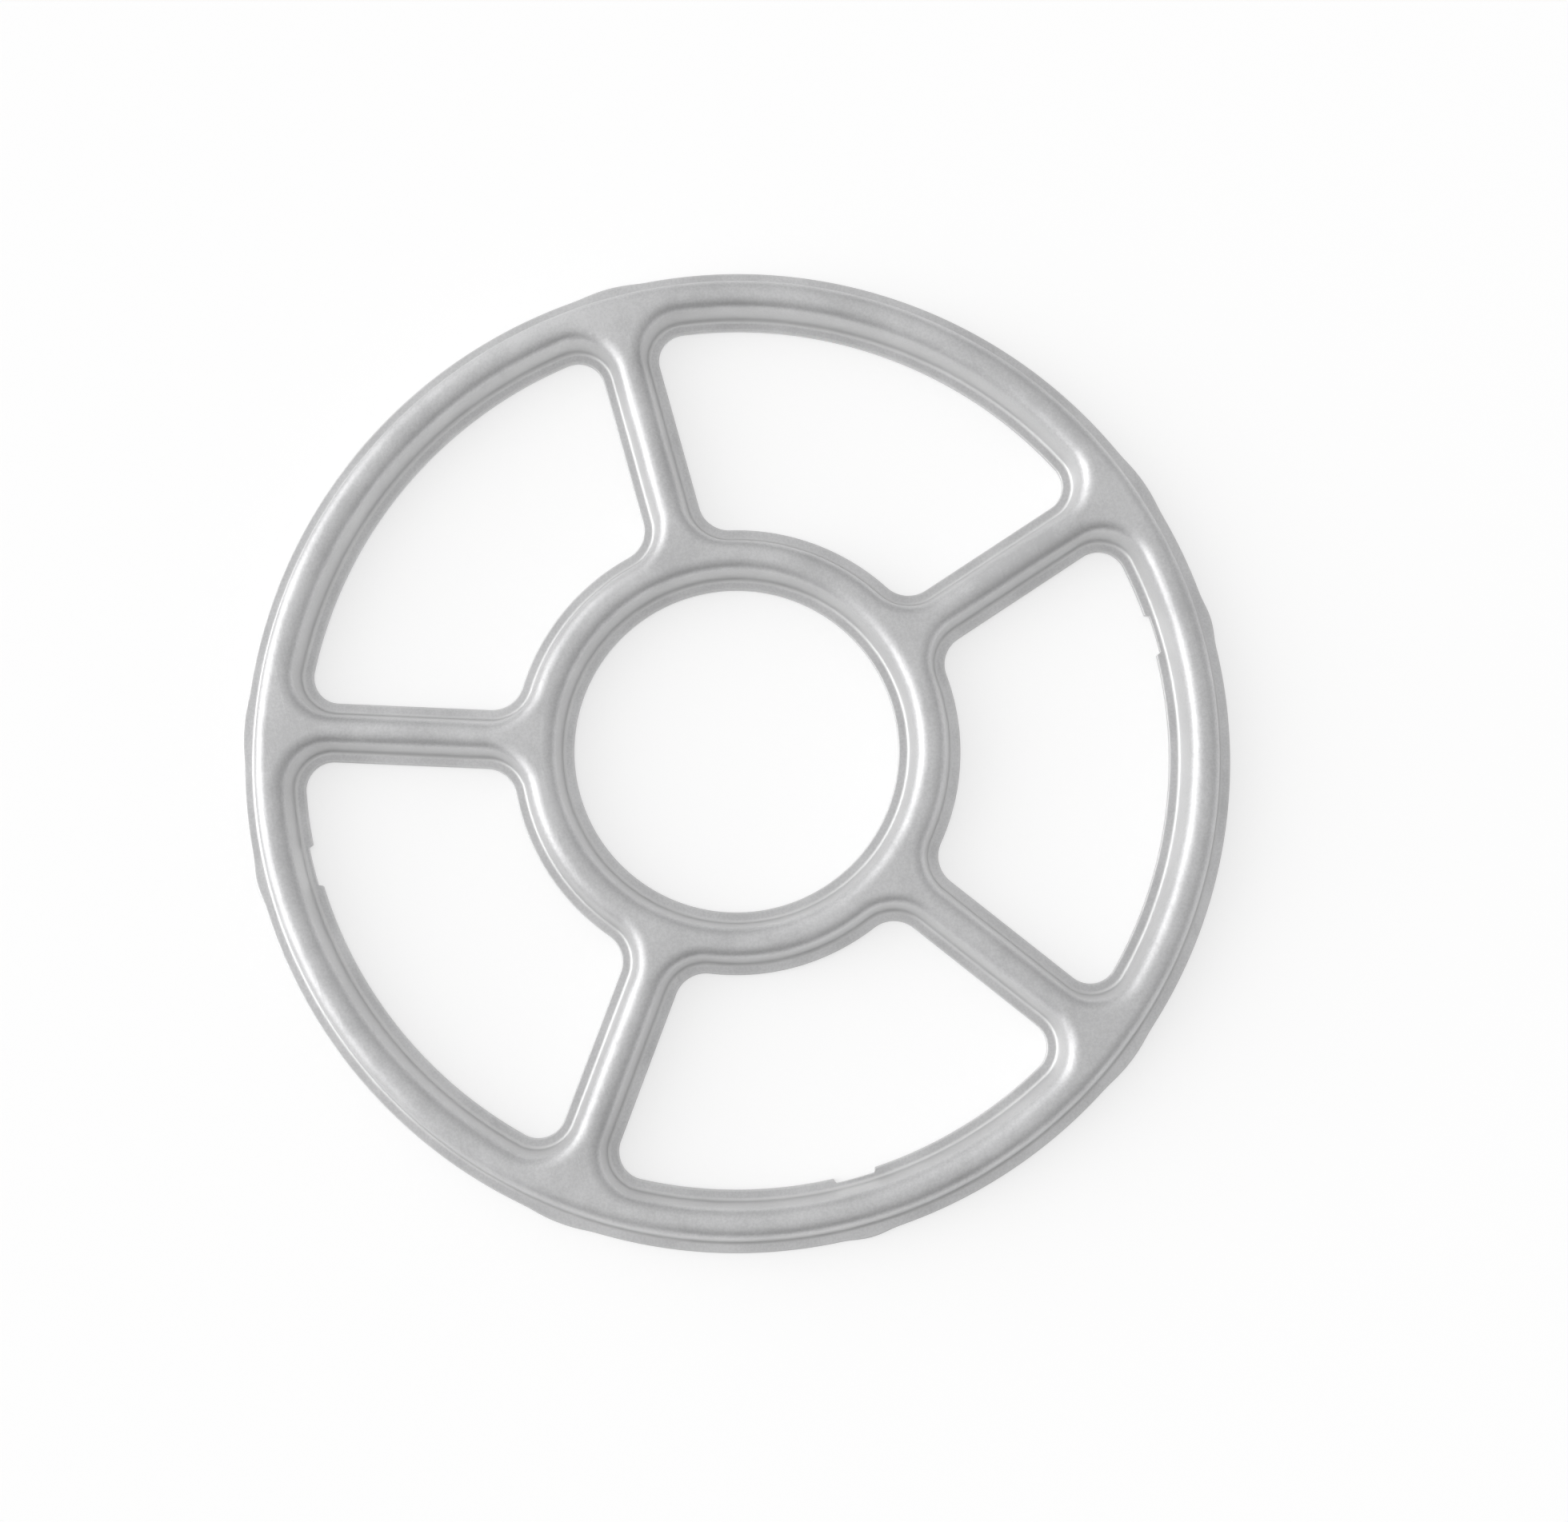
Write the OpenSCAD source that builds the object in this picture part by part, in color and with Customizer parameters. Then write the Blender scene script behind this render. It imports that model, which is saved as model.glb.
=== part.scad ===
// Stove reducer ring: one disc of sheet steel, pressed into a wheel of raised, rounded ribs.
// The ribs are hollow underneath, and a narrow flat lip follows every edge.
// The origin is on the axis of the centre hole, in the plane that the lips stand on, with +Z up.
// One spoke runs along +Y. The four grate seats lie on the X and Y axes.

/* [Rim] */
// Outer diameter of the rim, without its small ears
rim_d = 150; // [130:1:180]
// Width of the rim from its inner to its outer edge
rim_w = 9.2; // [9:0.1:12]

/* [Hub ring] */
// Diameter of the centre hole
bore_d = 49.4; // [40:0.2:56]
// Width of the hub ring
hub_w = 9.4; // [9:0.1:12]

/* [Spokes] */
// Number of spokes
spoke_count = 5; // [3:1:6]
// Width of a spoke from edge to edge
spoke_w = 9; // [8.6:0.1:12]
// Corner radius where a spoke meets the rim
rim_corner_r = 4.2; // [3:0.1:6]
// Corner radius where a spoke meets the hub ring
hub_corner_r = 4.8; // [3:0.1:6]

/* [Pressed section] */
// Thickness of the sheet
sheet_t = 0.8; // [0.6:0.1:1]
// Height of the ribs above the plane that the lips stand on
rib_h = 6; // [5:0.1:7]
// Width of the flat lip along every edge
lip_w = 1.1; // [0.9:0.05:1.3]
// Bend radius on top, where the lip turns up into the wall
foot_r = 0.6; // [0.4:0.1:0.8]
// Radius of the rounded shoulder, where the wall turns over into the crown
crown_r = 2.2; // [1.8:0.1:2.6]

/* [Edge details] */
// Width of a grate seat, measured along the edge
seat_w = 6.1; // [4:0.1:8]
// Depth of the notch that a grate seat leaves in the inner lip of the rim
seat_notch = 0.7; // [0.4:0.05:0.8]
// How far the outer lip stands out at a grate seat
seat_bump = 0.4; // [0.2:0.05:0.6]
// How far the outer lip stands out at the end of a spoke
ear_bump = 0.35; // [0.2:0.05:0.6]

/* [Hidden] */
$fn = 96;

// Curves that run into each other cross by this much, so that they join along a clean line
nip = 0.015;
corner_nip = 0.02;
// The sweeps of two corners that face each other overlap by twice this much
past_middle = 0.1;
// The hollow is cut from this far below the lips
below = 1;
// A spoke stops this far short of the middle of the rim and of the hub ring
spoke_short = 0.25;
// The flat top of a junction goes this far along the spoke, past the ends of the corners,
// and this many degrees along the rim or the hub ring
plate_past = 0.5;
plate_past_a = 0.5;
// A junction's stretch of rim or hub ring goes this many degrees past its corners,
// and the free stretch starts this many degrees past them, inside its end
rib_past = 3;
free_past = 2;
// The free stretches are narrower on each side and lower by this, so that no two surfaces coincide
hair = 0.01;
// Radii of the round-backed swellings in the outer lip
seat_back_r = 12;
ear_back_r = 25;
seat_count = 4;
// A grate seat this close to a spoke has no notch, because no inner lip is there
seat_clear_a = 10;

function rounded(x) = round(x * 1000) / 1000;

rim_out_r = rim_d / 2;
rim_in_r = rim_out_r - rim_w;
rim_mid_r = rounded(rim_out_r - rim_w / 2);
bore_r = bore_d / 2;
hub_out_r = bore_r + hub_w;
hub_mid_r = rounded(bore_r + hub_w / 2);
spoke_a = 360 / spoke_count;

// A section's x runs in from the edge, and its y is the height.
// The wall is the line that passes between the foot bend's circle and the shoulder's circle.
foot_x = lip_w;
crown_x = min(spoke_w, rim_w, hub_w) / 2;
hollow_h = rib_h - sheet_t;
// A section's form is its bend radii at the foot and at the shoulder, and how much lower it lies.
rib_form = [foot_r, crown_r, 0];
free_form = [foot_r, crown_r, hair];
// The swept corners bend a little more sharply at the foot and less at the shoulder than the ribs,
// so that the lines between their bends and walls never meet those of the ribs in one point
corner_form = [foot_r - 0.1, crown_r + 0.1, 0];

function lip_z(form) = sheet_t - form[2];
function top_z(form) = rib_h - form[2];
function foot_z(form) = lip_z(form) + form[0] - nip;
function crown_z(form) = top_z(form) + nip - form[1];
function wall_a(form) =
    let (run = crown_x - foot_x)
    let (rise = crown_z(form) - foot_z(form))
    atan2(rise, run) + asin((form[0] + form[1] - 2 * nip) / norm([run, rise]));
// The flat top of a corner starts this far before the shoulder's centre
crown_flat = sqrt(2 * corner_form[1] * nip);

// Centres of the corners beside a spoke that lies along X
rim_corner_y = spoke_w / 2 + rim_corner_r - corner_nip;
rim_corner_x = rounded(sqrt(pow(rim_in_r - rim_corner_r + corner_nip, 2) - pow(rim_corner_y, 2)));
hub_corner_y = spoke_w / 2 + hub_corner_r - corner_nip;
hub_corner_x = rounded(sqrt(pow(hub_out_r + hub_corner_r - corner_nip, 2) - pow(hub_corner_y, 2)));
// Angles between the spoke and the lines from the axis to those centres
rim_lean = atan2(rim_corner_y, rim_corner_x);
hub_lean = atan2(hub_corner_y, hub_corner_x);

// A point at this distance from a centre, square to the wall at angle "a" and outwards
function off_wall(x, z, a, by) = [x - by * sin(a), z + by * cos(a)];

// Half the outer section from one edge in to "reach", with the space underneath filled
module half_outer(reach, form) {
    foot = form[0];
    crown = form[1];
    foot_z = foot_z(form);
    crown_z = crown_z(form);
    top = top_z(form);
    a = wall_a(form);
    wall_low = off_wall(foot_x, foot_z, a, nip - foot);
    wall_high = off_wall(crown_x, crown_z, a, crown - nip);
    wall_base_x = wall_low[0] - wall_low[1] / tan(a);
    // Wall, and the body under the crown
    polygon([
        [wall_base_x, 0],
        wall_high,
        [crown_x, crown_z],
        [crown_x, top],
        [reach, top],
        [reach, 0]
    ]);
    // Rounded shoulder
    intersection() {
        translate([crown_x, crown_z])
            circle(r = crown);
        translate([crown_x - 2 * crown, crown_z - crown / 2])
            square([2 * crown, top - crown_z + crown / 2]);
    }
    // Bend at the foot
    difference() {
        polygon([[foot_x, 0], [wall_base_x + nip, 0], wall_low, [foot_x, foot_z]]);
        translate([foot_x, foot_z])
            circle(r = foot);
    }
    // Lip
    square([reach, lip_z(form)]);
}

// A point off a bend's centre, where the flats that stand in for the bend meet.
// The part of the bend's turn "a" from the level is "share", and "side" is 1 above and -1 below.
function bend_corner(x, z, r, a, share, side) =
    [x - side * r * sin(share * a) / cos(a / 4), z + side * r * cos(share * a) / cos(a / 4)];

// Half the hollow under that section, one sheet thickness in. Its bends are made of three flats.
module half_hollow(reach, form) {
    a = wall_a(form);
    foot_z = foot_z(form);
    crown_z = crown_z(form);
    top = top_z(form) - sheet_t;
    low = bend_corner(foot_x, foot_z, foot_z, a, 1 / 4, -1);
    polygon([
        [low[0], -below],
        low,
        bend_corner(foot_x, foot_z, foot_z, a, 3 / 4, -1),
        bend_corner(crown_x, crown_z, top - crown_z, a, 3 / 4, 1),
        bend_corner(crown_x, crown_z, top - crown_z, a, 1 / 4, 1),
        [reach, top],
        [reach, -below]
    ]);
}

// The section of the sheet's outer form, or of the hollow
module half_section(reach, form, hollow) {
    if (hollow)
        half_hollow(reach, form);
    else
        half_outer(reach, form);
}

// The whole section of a rib of this width, about its middle
module rib_section(width, form, hollow) {
    for (side = [0, 1])
        mirror([side, 0])
            translate([-width / 2, 0])
                half_section(width / 2 + nip, form, hollow);
}

// The stretch of a round rib that a spoke runs into, "turn" degrees long
module junction_rib(mid_r, width, turn, hollow) {
    past = hollow ? 1 : 0;
    rotate_extrude(angle = turn + 2 * past, start = -turn / 2 - past)
        translate([mid_r, 0])
            rib_section(width, rib_form, hollow);
}

// The stretch of a round rib between two spokes, a hair smaller than the ends it joins
module free_rib(mid_r, width, turn) {
    rotate_extrude(angle = turn, start = (spoke_a - turn) / 2)
        translate([mid_r, 0])
            difference() {
                rib_section(width - 2 * hair, free_form, false);
                rib_section(width - 2 * hair, free_form, true);
            }
}

// A spoke along X, almost from the middle of the hub ring to the middle of the rim
module spoke_rib(hollow) {
    from = hub_mid_r + spoke_short;
    to = rim_mid_r - spoke_short;
    translate([from, 0, 0])
        rotate([90, 0, 90])
            linear_extrude(height = to - from)
                rib_section(spoke_w, rib_form, hollow);
}

// The rounded corner on one side of a spoke: half a section, swept about the corner's centre
module corner_web(side, x, y, r, from_a, turn, hollow) {
    mirror([0, side, 0])
        translate([x, y, 0])
            rotate_extrude(angle = turn, start = from_a)
                translate([r, 0])
                    half_section(crown_x + past_middle, corner_form, hollow);
}

module rim_corner(side, hollow) {
    corner_web(side, rim_corner_x, rim_corner_y, rim_corner_r, -90, 90 + rim_lean, hollow);
}

module hub_corner(side, hollow) {
    corner_web(side, hub_corner_x, hub_corner_y, hub_corner_r, 180 + hub_lean, 90 - hub_lean, hollow);
}

// The flat top of a junction: the wedge between its two corners, from one radius to another
module junction_plate(from_r, to_r, lean, corner_x, corner_y, corner_r, hollow) {
    base = hollow ? -below : 0;
    top = hollow ? hollow_h : rib_h;
    far_x = 2 * to_r;
    far_y = far_x * tan(lean + plate_past_a);
    translate([0, 0, base])
        linear_extrude(height = top - base)
            difference() {
                intersection() {
                    polygon([[0, 0], [far_x, -far_y], [far_x, far_y]]);
                    circle(r = to_r);
                }
                circle(r = from_r);
                for (side = [-1, 1])
                    translate([corner_x, side * corner_y])
                        circle(r = corner_r + crown_x - crown_flat / 2);
            }
}

module rim_plate(hollow) {
    from_r = rim_corner_x - plate_past;
    junction_plate(from_r, rim_mid_r, rim_lean, rim_corner_x, rim_corner_y, rim_corner_r, hollow);
}

module hub_plate(hollow) {
    to_r = hub_corner_x + plate_past;
    junction_plate(hub_mid_r, to_r, hub_lean, hub_corner_x, hub_corner_y, hub_corner_r, hollow);
}

// A spoke along X with its four corners and the flat tops between them
module spoke_with_corners(hollow) {
    rim_corner(0, hollow);
    rim_corner(1, hollow);
    hub_corner(0, hollow);
    hub_corner(1, hollow);
    spoke_rib(hollow);
    rim_plate(hollow);
    hub_plate(hollow);
}

// The same with the stretch of the rim that it runs into
module spoke_and_rim(hollow) {
    junction_rib(rim_mid_r, rim_w, 2 * (rim_lean + rib_past), hollow);
    spoke_with_corners(hollow);
}

// One spoke with all that belongs to its two junctions. It is built up in steps, which builds fastest.
module spoke_form(hollow) {
    junction_rib(hub_mid_r, hub_w, 2 * (hub_lean + rib_past), hollow);
    spoke_and_rim(hollow);
}

// A lens-shaped swelling of the outer lip on the X axis
module lip_swelling(stands_out, back_r) {
    linear_extrude(height = sheet_t)
        difference() {
            translate([rim_out_r + stands_out - back_r, 0])
                circle(r = back_r);
            circle(r = rim_out_r - lip_w / 2);
        }
}

// Angle between a direction and the nearest spoke
function from_spoke(a) =
    let (past = (a + 360 - 90) % spoke_a)
    min(past, spoke_a - past);

module reducer_ring() {
    color("silver")
        difference() {
            union() {
                for (i = [0 : spoke_count - 1])
                    rotate([0, 0, 90 + i * spoke_a]) {
                        difference() {
                            spoke_form(false);
                            spoke_form(true);
                        }
                        free_rib(rim_mid_r, rim_w, spoke_a - 2 * (rim_lean + free_past));
                        free_rib(hub_mid_r, hub_w, spoke_a - 2 * (hub_lean + free_past));
                        lip_swelling(ear_bump, ear_back_r);
                    }
                for (i = [0 : seat_count - 1])
                    rotate([0, 0, i * 360 / seat_count])
                        lip_swelling(seat_bump, seat_back_r);
            }
            for (i = [0 : seat_count - 1])
                if (from_spoke(i * 360 / seat_count) > seat_clear_a)
                    rotate([0, 0, i * 360 / seat_count])
                        translate([rim_in_r - 1, -seat_w / 2, -below])
                            cube([1 + seat_notch, seat_w, below + 2 * sheet_t]);
        }
}

reducer_ring();
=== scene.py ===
"""Stove reducer ring: the pressed steel sheet, its finish, the floor, the light and the camera."""

import math

import bpy
import numpy as np
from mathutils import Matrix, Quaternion, Vector
from mathutils.geometry import delaunay_2d_cdt


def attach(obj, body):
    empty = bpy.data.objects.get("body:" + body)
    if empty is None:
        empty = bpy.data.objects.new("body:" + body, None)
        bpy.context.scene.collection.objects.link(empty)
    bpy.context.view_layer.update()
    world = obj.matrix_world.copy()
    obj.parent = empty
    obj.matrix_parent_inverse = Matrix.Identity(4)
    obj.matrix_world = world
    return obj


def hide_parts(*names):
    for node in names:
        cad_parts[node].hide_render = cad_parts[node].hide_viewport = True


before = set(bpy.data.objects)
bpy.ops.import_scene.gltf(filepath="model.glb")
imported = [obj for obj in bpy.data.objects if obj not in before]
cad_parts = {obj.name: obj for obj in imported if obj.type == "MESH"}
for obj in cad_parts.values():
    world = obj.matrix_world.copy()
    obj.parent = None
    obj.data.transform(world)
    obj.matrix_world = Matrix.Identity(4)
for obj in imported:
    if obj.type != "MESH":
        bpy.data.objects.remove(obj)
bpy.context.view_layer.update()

MM = 0.001

# The ring's sizes in millimetres and degrees, as in the part's source
RIM_OUT_R = 75.0
RIM_IN_R = 65.8
HUB_OUT_R = 34.1
BORE_R = 24.7
SPOKE_HALF = 4.5
RIM_CORNER_R = 4.2
HUB_CORNER_R = 4.8
SPOKES = 5
FIRST_SPOKE = 90.0
SHEET_T = 0.8
RIB_H = 6.0
LIP_W = 1.1
FOOT_R = 0.6
CROWN_R = 2.2
CROWN_X = 4.5

# Edge details in millimetres: grate seats on the axes, and an ear at the end of each spoke
SEATS = (0.0, 90.0, 180.0, 270.0)
SEAT_BACK_R = 12.0
SEAT_OUT = 0.4
EAR_BACK_R = 25.0
EAR_OUT = 0.35
NOTCH_HALF = 3.05
NOTCH_DEEP = 0.7
NOTCH_SLOPE = 0.45

# The rounded corners of the cut edge, above where the punch drew it in and below
EDGE_TOP_R = 0.14
EDGE_LOW_R = 0.06

# How strongly a painted highlight, a lighter colour, lies on the top of the wall and on the cut edge
WALL_PAINTED_HIGHLIGHT = 0.4
EDGE_PAINTED_HIGHLIGHT = 0.5

# Where the crown's fill begins: this slope in degrees, just before the shoulder is level
FILL_SLOPE = 1.0

# How many points go round the rim and the bore, and along each stretch of a window's edge
RIM_STEPS = 480
BORE_STEPS = 240
RIM_ARC_STEPS = 64
HUB_ARC_STEPS = 26
RIM_CORNER_STEPS = 26
HUB_CORNER_STEPS = 20
SIDE_STEPS = 14
NOTCH_STEPS = 7

# How many rows each bend of the section takes
FOOT_ROWS = 7
SHOULDER_ROWS = 13
EDGE_TOP_ROWS = 4
EDGE_LOW_ROWS = 3

# A notch gets its own samples if it lies this many degrees clear of the window's corners
NOTCH_CLEAR = 4.0

# Points of the crown's outline nearer than this, in millimetres, count as one
SAME_POINT = 1e-9


def polar(radius, degrees):
    """Points at this radius from the origin, at these angles."""
    a = np.radians(np.asarray(degrees, float))
    return np.stack([radius * np.cos(a), radius * np.sin(a)], -1)


def bent(centre, radius, start, end, steps, side=1):
    """An arc's points and normals into the metal, without its end. Side is -1 if the metal is inside."""
    a = np.linspace(start, end, steps, endpoint=False)
    return np.array(centre) + polar(radius, a), side * polar(1, a)


def straight(start, end, normal, steps):
    """A straight side's points, without its end, and their normals."""
    t = np.linspace(0, 1, steps, endpoint=False)[:, None]
    points = np.array(start) * (1 - t) + np.array(end) * t
    return points, np.repeat(np.array(normal)[None], steps, 0)


def turned(points, degrees):
    """The points, turned about the ring's axis."""
    c, s = math.cos(math.radians(degrees)), math.sin(math.radians(degrees))
    return points @ np.array([[c, s], [-s, c]])


def corner_centre(to_centre, half):
    """How far along its spoke a corner's centre lies, and how many degrees beside the spoke's middle."""
    return math.sqrt(to_centre**2 - half**2), math.degrees(math.asin(half / to_centre))


def rim_angles(middle, reach):
    """Angles along a window's side at the rim, with more of them at the slopes of a notch."""
    arc = np.linspace(-reach, reach, RIM_ARC_STEPS, endpoint=False)
    wide = math.degrees(NOTCH_SLOPE / RIM_IN_R)
    for seat in SEATS:
        off = (seat - middle + 180) % 360 - 180
        if abs(off) < reach - NOTCH_CLEAR:
            for edge in (-1, 1):
                at = off + edge * math.degrees(NOTCH_HALF / RIM_IN_R)
                away = np.abs(arc - at) > 0.6 * wide
                finer = np.linspace(at - 0.5 * wide, at + 0.5 * wide, NOTCH_STEPS)
                arc = np.concatenate([arc[away], finer])
    return np.sort(arc)


def window_loop(middle):
    """The edge of one window, counterclockwise, with its middle in this direction."""
    half_gap = 180 / SPOKES
    rim_to = RIM_IN_R - RIM_CORNER_R
    hub_to = HUB_OUT_R + HUB_CORNER_R
    rim_x, rim_lean = corner_centre(rim_to, SPOKE_HALF + RIM_CORNER_R)
    hub_x, hub_lean = corner_centre(hub_to, SPOKE_HALF + HUB_CORNER_R)
    rim_a, hub_a = half_gap - rim_lean, half_gap - hub_lean
    across = half_gap + 90
    side = polar(1, across)
    along = polar(1, half_gap)
    near, far = along * hub_x - side * SPOKE_HALF, along * rim_x - side * SPOKE_HALF
    flip = np.array([1, -1])
    arc = rim_angles(middle, rim_a)
    parts = [
        (polar(RIM_IN_R, arc), polar(1, arc)),
        bent(polar(rim_to, rim_a), RIM_CORNER_R, rim_a, across, RIM_CORNER_STEPS),
        straight(far, near, side, SIDE_STEPS),
        bent(polar(hub_to, hub_a), HUB_CORNER_R, across, 180 + hub_a, HUB_CORNER_STEPS),
        bent((0, 0), HUB_OUT_R, hub_a, -hub_a, HUB_ARC_STEPS, -1),
        bent(polar(hub_to, -hub_a), HUB_CORNER_R, 180 - hub_a, 360 - across, HUB_CORNER_STEPS),
        straight(near * flip, far * flip, side * flip, SIDE_STEPS),
        bent(polar(rim_to, -rim_a), RIM_CORNER_R, 360 - across, 360 - rim_a, RIM_CORNER_STEPS),
    ]
    points = turned(np.concatenate([p for p, _ in parts]), middle)
    normals = turned(np.concatenate([n for _, n in parts]), middle)
    return points, normals


def edge_loops():
    """The points and normals of every edge: round the rim, round the bore and round each window."""
    outer = np.linspace(360, 0, RIM_STEPS, endpoint=False)
    bore = np.linspace(0, 360, BORE_STEPS, endpoint=False)
    loops = [
        (polar(RIM_OUT_R, outer), -polar(1, outer)),
        (polar(BORE_R, bore), polar(1, bore)),
    ]
    half_gap = 180 / SPOKES
    for k in range(SPOKES):
        loops.append(window_loop(FIRST_SPOKE + half_gap + k * 360 / SPOKES))
    return loops


def lens(degrees, out, back_r):
    """How far a round-backed swelling of the rim stands out, at this angle from its middle."""
    a = np.radians(degrees)
    centre = RIM_OUT_R + out - back_r
    inside = np.clip(back_r**2 - (centre * np.sin(a)) ** 2, 0, None)
    reach = centre * np.cos(a) + np.sqrt(inside)
    # Only near its middle: the same sum has another answer on the far side of the ring
    near = np.cos(a) > 0.9
    return np.where(near, np.clip(reach - RIM_OUT_R, 0, None), 0)


def swelling(points):
    """How far the rim's outer lip stands out at each point, softened a little."""
    at = np.degrees(np.arctan2(points[:, 1], points[:, 0]))
    out = np.zeros(len(points))
    for seat in SEATS:
        out = np.maximum(out, lens(at - seat, SEAT_OUT, SEAT_BACK_R))
    for k in range(SPOKES):
        out = np.maximum(out, lens(at - FIRST_SPOKE - k * 360 / SPOKES, EAR_OUT, EAR_BACK_R))
    return 0.5 * out + 0.25 * (np.roll(out, 1) + np.roll(out, -1))


def notched(points):
    """How far the rim's inner lip is cut back at each point."""
    at = np.degrees(np.arctan2(points[:, 1], points[:, 0]))
    radius = np.hypot(points[:, 0], points[:, 1])
    cut = np.zeros(len(points))
    for seat in SEATS:
        off = np.abs((at - seat + 180) % 360 - 180)
        along = np.radians(off) * radius
        t = np.clip((NOTCH_HALF + NOTCH_SLOPE / 2 - along) / NOTCH_SLOPE, 0, 1)
        cut = np.maximum(cut, NOTCH_DEEP * t * t * (3 - 2 * t))
    # Beside a spoke there is no inner lip to cut, only the far ends of the spoke's own edges
    on_rim = radius > RIM_IN_R - 0.01
    return np.where(on_rim, cut, 0)


def section():
    """The sheet's upper side from its cut edge to the crown: distance in, height, slope and painted
    highlight.

    The painted highlight is a lighter colour that stands in for reflected light. It is strongest on the
    bend at the foot and grows less and less on the wall above it.
    """
    foot_z = SHEET_T + FOOT_R
    crown_z = RIB_H - CROWN_R
    run, rise = CROWN_X - LIP_W, crown_z - foot_z
    slope = math.degrees(math.atan2(rise, run) + math.asin((FOOT_R + CROWN_R) / math.hypot(run, rise)))
    rows = [(LIP_W * 0.3, SHEET_T, 0.0, 0.0), (LIP_W * 0.7, SHEET_T, 0.0, 0.0)]
    for a in np.linspace(0, slope, FOOT_ROWS):
        s, c = math.sin(math.radians(a)), math.cos(math.radians(a))
        # Full painted highlight from halfway up the bend
        painted_highlight = min(1.0, 2 * a / slope)
        rows.append((LIP_W + FOOT_R * s, foot_z - FOOT_R * c, a, painted_highlight))
    for a in np.linspace(slope, FILL_SLOPE, SHOULDER_ROWS):
        s, c = math.sin(math.radians(a)), math.cos(math.radians(a))
        # The wall's painted highlight is gone after the first quarter of the shoulder
        painted_highlight = WALL_PAINTED_HIGHLIGHT * max(0.0, 1 - 4 * (1 - a / slope))
        rows.append((CROWN_X - CROWN_R * s, crown_z + CROWN_R * c, a, painted_highlight))
    return rows


def sheet_rows():
    """Rows of the whole sheet, from the crown down the upper side, round the edge and back underneath.

    Each row has its distance in from the edge, its height and its painted highlight.
    """
    upper = section()
    rows = [(d, z, painted_highlight) for d, z, _, painted_highlight in reversed(upper)]
    # The upper round of the cut edge gets the painted highlight, a lighter colour
    for a in np.linspace(90, 180, EDGE_TOP_ROWS):
        c, s = math.cos(math.radians(a)), math.sin(math.radians(a))
        rows.append((EDGE_TOP_R * (1 + c), SHEET_T - EDGE_TOP_R * (1 - s), EDGE_PAINTED_HIGHLIGHT))
    for a in np.linspace(180, 270, EDGE_LOW_ROWS):
        c, s = math.cos(math.radians(a)), math.sin(math.radians(a))
        rows.append((EDGE_LOW_R * (1 + c), max(0.0, EDGE_LOW_R * (1 + s)), 0.0))
    for d, z, a, _ in upper:
        s, c = math.sin(math.radians(a)), math.cos(math.radians(a))
        rows.append((d + SHEET_T * s, max(0.0, z - SHEET_T * c), 0.0))
    return rows


def winding(points, loops):
    """True for each point that lies in the metal: inside an odd number of the loops."""
    odd = np.zeros(len(points), bool)
    x, y = points[:, :1], points[:, 1:]
    for loop in loops:
        x0, y0 = loop[:, 0], loop[:, 1]
        x1, y1 = np.roll(x0, -1), np.roll(y0, -1)
        crosses = (y0 > y) != (y1 > y)
        flat = np.where(y1 == y0, 1, y1 - y0)
        left = x < x0 + (y - y0) * (x1 - x0) / flat
        odd ^= (crosses & left).sum(1) % 2 == 1
    return odd


def fill(loops):
    """Triangles over the flat crown between the loops, as indices into the loops' points in a row."""
    points = [Vector(p) for p in np.concatenate(loops)]
    edges, start = [], 0
    for loop in loops:
        n = len(loop)
        edges += [(start + i, start + (i + 1) % n) for i in range(n)]
        start += n
    found, _, triangles, origins, _, _ = delaunay_2d_cdt(points, edges, [], 0, SAME_POINT)
    found, triangles = np.array(found), np.array(triangles)
    origin = np.array([o[0] for o in origins])
    in_metal = winding(found[triangles].mean(1), loops)
    return origin[triangles[in_metal]]


def ring_mesh():
    """The whole sheet: rows of quads in from every edge, above and below, and the crown between them."""
    rows = sheet_rows()
    verts, quads, painted_highlight = [], [], []
    tops, lows = [], []
    count = 0
    for i, (points, normals) in enumerate(edge_loops()):
        cut = -swelling(points) if i == 0 else notched(points)
        n = len(points)
        for d, z, highlight_paint in rows:
            # The lip alone follows the swellings and notches, less and less towards the foot
            shift = cut * max(0.0, 1 - d / LIP_W)
            flat = points + normals * (d + shift)[:, None]
            verts.append(np.column_stack([flat, np.full(n, z)]))
            # Each row's painted highlight, a lighter colour that stands in for reflected light, goes on
            # its points
            painted_highlight.append(np.full(n, highlight_paint))
        ids = count + np.arange(len(rows) * n).reshape(len(rows), n)
        a, b = ids[:-1], ids[1:]
        around = np.stack([a, np.roll(a, -1, 1), np.roll(b, -1, 1), b], -1)
        quads.append(around.reshape(-1, 4))
        tops.append(ids[0])
        lows.append(ids[-1])
        count += len(rows) * n
    verts = np.concatenate(verts)
    tri = fill([verts[top][:, :2] for top in tops])
    tops, lows = np.concatenate(tops), np.concatenate(lows)
    # Every triangle of the crown has to face up
    a, b, c = (verts[tops[tri[:, k]]] for k in range(3))
    up = np.cross(b - a, c - a)[:, 2:] > 0
    tri = np.where(up, tri, tri[:, ::-1])
    polygons = np.concatenate(quads).tolist() + tops[tri].tolist() + lows[tri[:, ::-1]].tolist()
    mesh = bpy.data.meshes.new("reducer_ring_sheet")
    mesh.from_pydata((verts * MM).tolist(), [], polygons)
    # The painted highlight of each point is kept here for the steel's colour
    highlight_paint = mesh.attributes.new("painted_highlight", "FLOAT", "POINT")
    highlight_paint.data.foreach_set("value", np.concatenate(painted_highlight))
    mesh.validate()
    mesh.update()
    mesh.shade_smooth()
    return mesh


# The node tree that the helpers below add to is tree, which each material and the world set anew


def link(a, b):
    tree.links.new(a, b)


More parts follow.
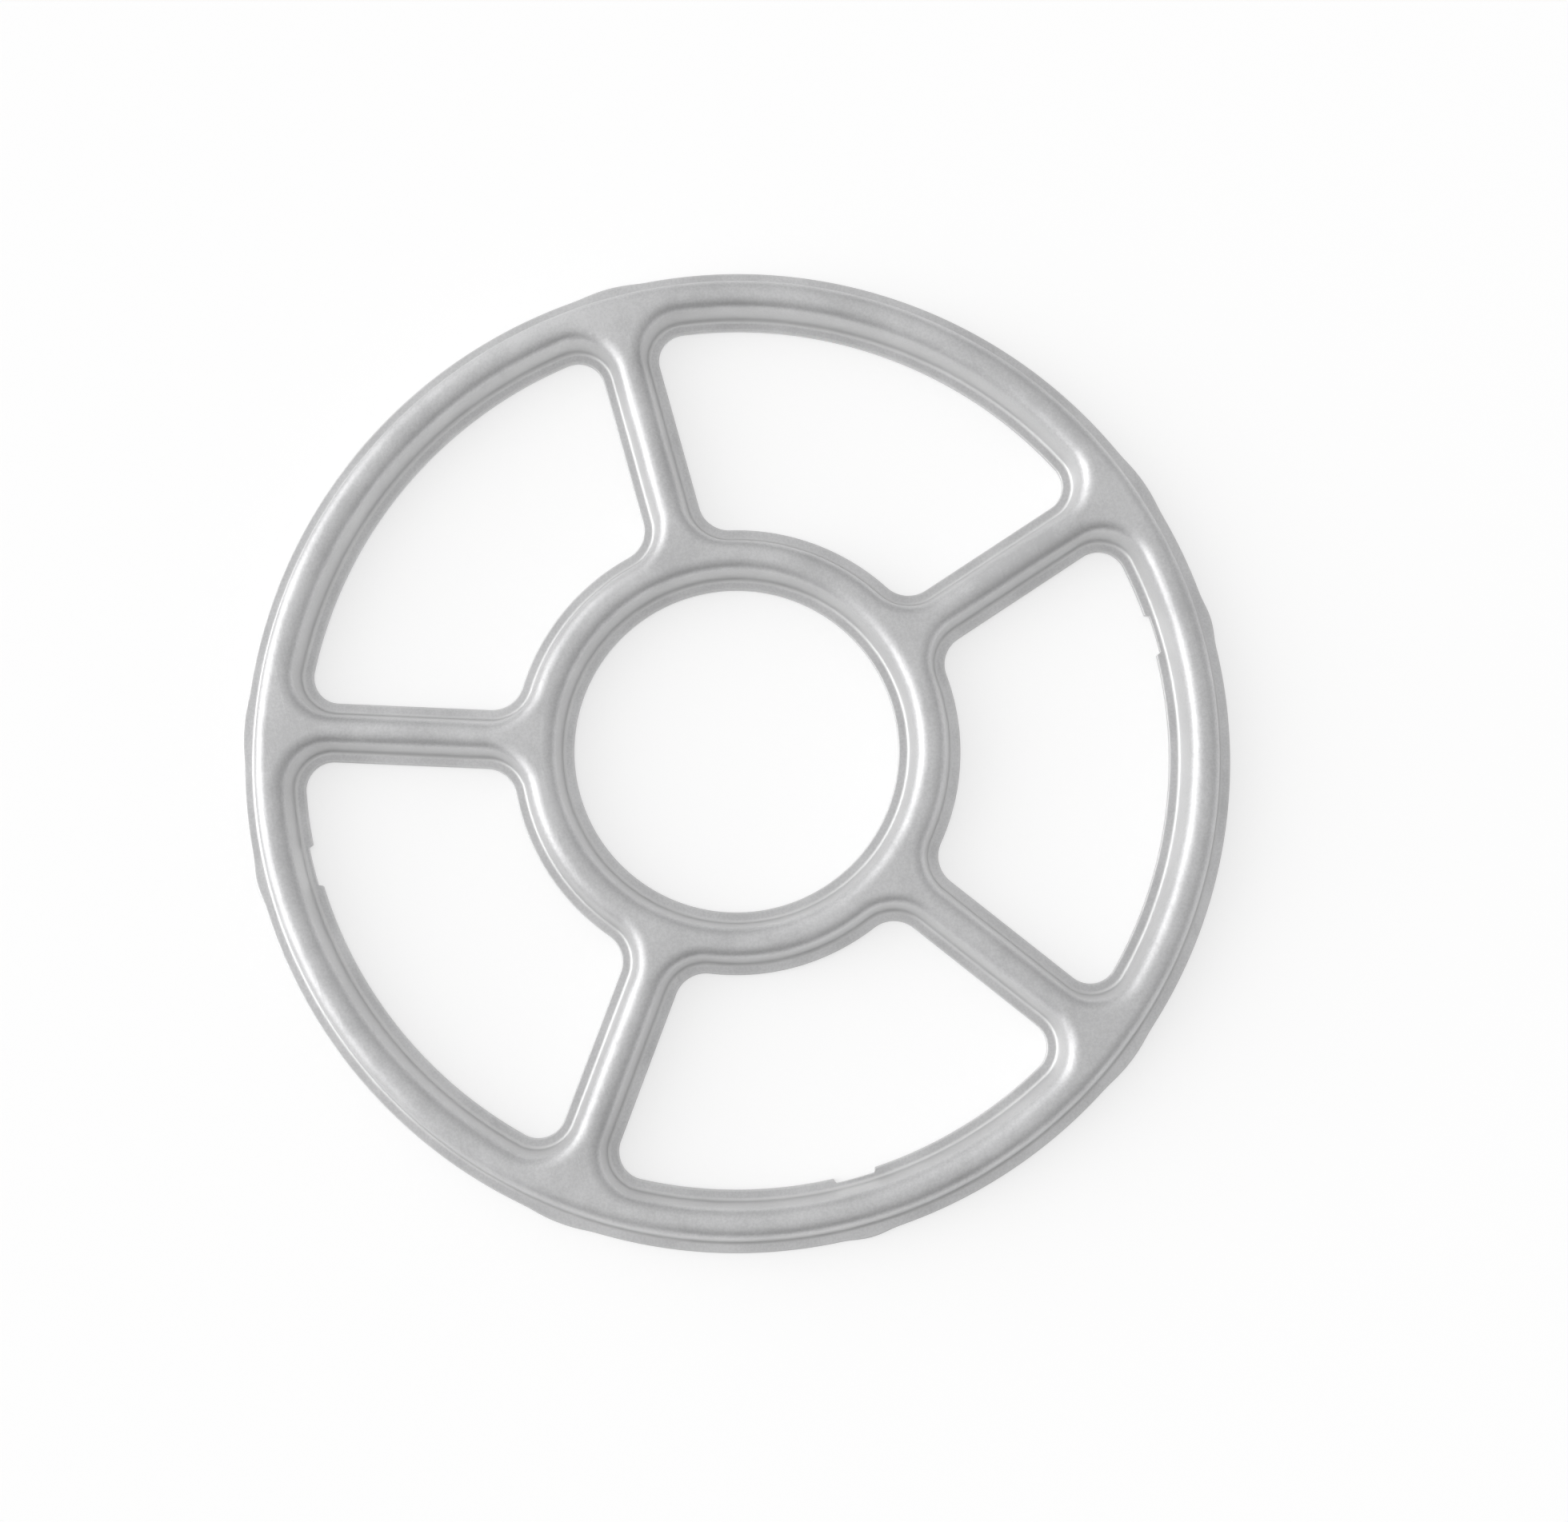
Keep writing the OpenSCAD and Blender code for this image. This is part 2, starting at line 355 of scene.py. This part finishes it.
def node(kind, **values):
    """A new node with these settings. A name that starts with in_ is an input's value."""
    n = tree.nodes.new(kind)
    for name, value in values.items():
        if name.startswith("in_"):
            n.inputs[name[3:].replace("_", " ")].default_value = value
        else:
            setattr(n, name, value)
    return n


def noise(where, scale, detail, roughness):
    """Cloudy noise, mostly between 0.3 and 0.7."""
    n = node("ShaderNodeTexNoise", in_Scale=scale, in_Detail=detail, in_Roughness=roughness)
    link(where, n.inputs["Vector"])
    return n.outputs["Fac"]


def ranged(value, low, high, to_low, to_high):
    """The value, moved from one range to another and held inside it."""
    n = node("ShaderNodeMapRange")
    for name, v in zip(("From Min", "From Max", "To Min", "To Max"), (low, high, to_low, to_high)):
        n.inputs[name].default_value = v
    link(value, n.inputs["Value"])
    return n.outputs["Result"]


def stretched(where, turn, scale):
    """The place, turned by these degrees and scaled along each axis."""
    n = node("ShaderNodeMapping")
    n.inputs["Rotation"].default_value = (0, 0, math.radians(turn))
    n.inputs["Scale"].default_value = scale
    link(where, n.inputs["Vector"])
    return n.outputs["Vector"]


def added(value, times, before):
    """The value times a number, on top of what came before."""
    n = node("ShaderNodeMath", operation="MULTIPLY_ADD")
    link(value, n.inputs[0])
    n.inputs[1].default_value = times
    link(before, n.inputs[2])
    return n.outputs[0]


def bump(height, strength, distance, before=None):
    """A relief of this height in metres, over the relief before it."""
    n = node("ShaderNodeBump", in_Strength=strength, in_Distance=distance)
    link(height, n.inputs["Height"])
    if before is not None:
        link(before, n.inputs["Normal"])
    return n.outputs["Normal"]


def scratches(turn, scale, start):
    """Fine scratches at this angle, fewer where they start at a higher level of the noise."""
    streaks = noise(stretched(place, turn, scale), scale=1, detail=2, roughness=0.5)
    return ranged(streaks, start, start + 0.12, 0, 1)


# The steel's two shades, and the lighter colour of the painted highlight on the walls and the cut edge
STEEL_DARK = (0.565, 0.565, 0.57, 1)
STEEL_LIGHT = (0.67, 0.67, 0.675, 1)
STEEL_PAINTED_HIGHLIGHT = (0.74, 0.74, 0.74, 1)
SPECK_STRENGTH = 0.3
ROUGH_LOW = 0.45
ROUGH_HIGH = 0.55
SCRATCH_ROUGH = 0.06

steel = bpy.data.materials.new("satin_steel")
steel.use_nodes = True
tree = steel.node_tree
shader = tree.nodes["Principled BSDF"]
shader.inputs["Metallic"].default_value = 1.0
place = node("ShaderNodeTexCoord").outputs["Object"]

# Colour: even steel with faint cloudy patches and fine specks, and a painted highlight, a lighter
# colour, on the walls and the cut edge
patches = ranged(noise(place, scale=90, detail=3, roughness=0.55), 0.3, 0.7, 0, 1)
specks = ranged(noise(place, scale=2600, detail=2, roughness=0.6), 0.35, 0.65, -1, 1)
colour = node("ShaderNodeMix", data_type="RGBA")
link(added(specks, SPECK_STRENGTH, patches), colour.inputs["Factor"])
colour.inputs["A"].default_value = STEEL_DARK
colour.inputs["B"].default_value = STEEL_LIGHT
# Painted highlight: a lighter colour is mixed in where the sheet's painted highlight attribute calls for
# it
painted_highlight_mix = node("ShaderNodeMix", data_type="RGBA")
link(node("ShaderNodeAttribute", attribute_name="painted_highlight").outputs["Fac"], painted_highlight_mix.inputs["Factor"])
link(colour.outputs["Result"], painted_highlight_mix.inputs["A"])
painted_highlight_mix.inputs["B"].default_value = STEEL_PAINTED_HIGHLIGHT
link(painted_highlight_mix.outputs["Result"], shader.inputs["Base Color"])

# Gloss: satin, a little duller in patches and along fine hair scratches in one direction; the second
# direction's scratches serve only the relief below
hair_a = scratches(24, (1800, 60, 400), 0.60)
hair_b = scratches(-61, (1500, 50, 400), 0.62)
dull = ranged(noise(place, scale=160, detail=4, roughness=0.6), 0.3, 0.7, ROUGH_LOW, ROUGH_HIGH)
link(added(hair_a, SCRATCH_ROUGH, dull), shader.inputs["Roughness"])

# Relief: slight waves that pressing leaves in the sheet, its fine grain, and the hair scratches
waves = bump(noise(place, scale=70, detail=2, roughness=0.4), 0.5, 1.2 * MM)
fine = bump(noise(place, scale=900, detail=2, roughness=0.6), 0.3, 0.12 * MM, waves)
lines = bump(hair_a, 0.15, 0.05 * MM, fine)
cross = bump(hair_b, 0.15, 0.05 * MM, lines)
link(cross, shader.inputs["Normal"])

ring = bpy.data.objects.new("reducer_ring_sheet", ring_mesh())
bpy.context.scene.collection.objects.link(ring)
ring.data.materials.append(steel)
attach(ring, "root")
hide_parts("reducer_ring")

# A plain white floor, in metres, just under the lips
FLOOR_HALF = 40.0
FLOOR_GAP = 0.00003
FLOOR_GREY = 0.62
FLOOR_LIFT = 0.45
corners = [(-FLOOR_HALF, -FLOOR_HALF), (FLOOR_HALF, -FLOOR_HALF)]
corners += [(FLOOR_HALF, FLOOR_HALF), (-FLOOR_HALF, FLOOR_HALF)]
floor_mesh = bpy.data.meshes.new("floor")
floor_mesh.from_pydata([(x, y, -FLOOR_GAP) for x, y in corners], [], [(0, 1, 2, 3)])
floor = bpy.data.objects.new("floor", floor_mesh)
bpy.context.scene.collection.objects.link(floor)
paper = bpy.data.materials.new("floor_white")
paper.use_nodes = True
tree = paper.node_tree
shader = tree.nodes["Principled BSDF"]
shader.inputs["Base Color"].default_value = (FLOOR_GREY, FLOOR_GREY, FLOOR_GREY, 1)
shader.inputs["Roughness"].default_value = 0.9
shader.inputs["Specular IOR Level"].default_value = 0.1
# What the floor lacks to be white is added only for the camera and for reflections, over its shadows
rays = node("ShaderNodeLightPath")
seen = rays.outputs["Is Camera Ray"]
for kind in ("Is Glossy Ray", "Is Transmission Ray"):
    either = node("ShaderNodeMath", operation="MAXIMUM")
    link(seen, either.inputs[0])
    link(rays.outputs[kind], either.inputs[1])
    seen = either.outputs[0]
lift = node("ShaderNodeMath", operation="MULTIPLY")
link(seen, lift.inputs[0])
lift.inputs[1].default_value = FLOOR_LIFT
shader.inputs["Emission Color"].default_value = (1, 1, 1, 1)
link(lift.outputs[0], shader.inputs["Emission Strength"])
floor_mesh.materials.append(paper)

# How far the photograph's own right is turned from the part's X, in degrees
PHOTO_TURN = -15.47

# The room's light at the horizon and straight above
HORIZON_LIGHT = 0.46
ZENITH_LIGHT = 0.8


def photo_direction(azimuth, height):
    """A direction by its angle in the photograph, counterclockwise from the right, and its height."""
    a, h = math.radians(azimuth + PHOTO_TURN), math.radians(height)
    return Vector((math.cos(h) * math.cos(a), math.cos(h) * math.sin(a), math.sin(h)))


def facing(direction):
    """How directly each direction of the world lies towards this one, from -1 to 1."""
    n = node("ShaderNodeVectorMath", operation="DOT_PRODUCT")
    link(toward_world, n.inputs[0])
    n.inputs[1].default_value = direction
    return n.outputs["Value"]


def glow(before, azimuth, height, narrow, strength):
    """Adds a round patch of light, with this strength in its middle. A narrow one fades sooner.

    A negative strength makes a dim patch.
    """
    inside = ranged(facing(photo_direction(azimuth, height)), 0, 1, 0, 1)
    fade = node("ShaderNodeMath", operation="POWER")
    link(inside, fade.inputs[0])
    fade.inputs[1].default_value = narrow
    return added(fade.outputs[0], strength, before)


# The room is the world's own light, pale and even, with a bright window low on the photograph's left,
# a faint glow towards its top left and a dim side towards its bottom
world = bpy.data.worlds.new("room")
bpy.context.scene.world = world
world.use_nodes = True
tree = world.node_tree
toward_world = node("ShaderNodeTexCoord").outputs["Generated"]
light = ranged(facing((0, 0, 1)), 0, 1, HORIZON_LIGHT, ZENITH_LIGHT)
light = glow(light, azimuth=178, height=3, narrow=5.5, strength=3.5)
light = glow(light, azimuth=130, height=25, narrow=6, strength=0.3)
light = glow(light, azimuth=285, height=5, narrow=3, strength=-0.3)
link(light, tree.nodes["Background"].inputs["Strength"])
tree.nodes["Background"].inputs["Color"].default_value = (1, 1, 1, 1)

# The camera of the photograph
camera = bpy.data.cameras.new("camera")
camera.sensor_fit = "HORIZONTAL"
camera.sensor_width = 36
camera.lens = 48.165
camera.shift_x = 0.02337
camera.shift_y = -0.01097
camera.clip_start = 0.01
camera.clip_end = 20
view = bpy.data.objects.new("camera", camera)
view.location = Vector((-5.771, -37.361, 317.759)) * MM
view.rotation_mode = "QUATERNION"
view.rotation_quaternion = Quaternion((0.989036, 0.060355, -0.003868, -0.134725))
bpy.context.scene.collection.objects.link(view)
bpy.context.scene.camera = view

bpy.context.scene.view_settings.view_transform = "Standard"
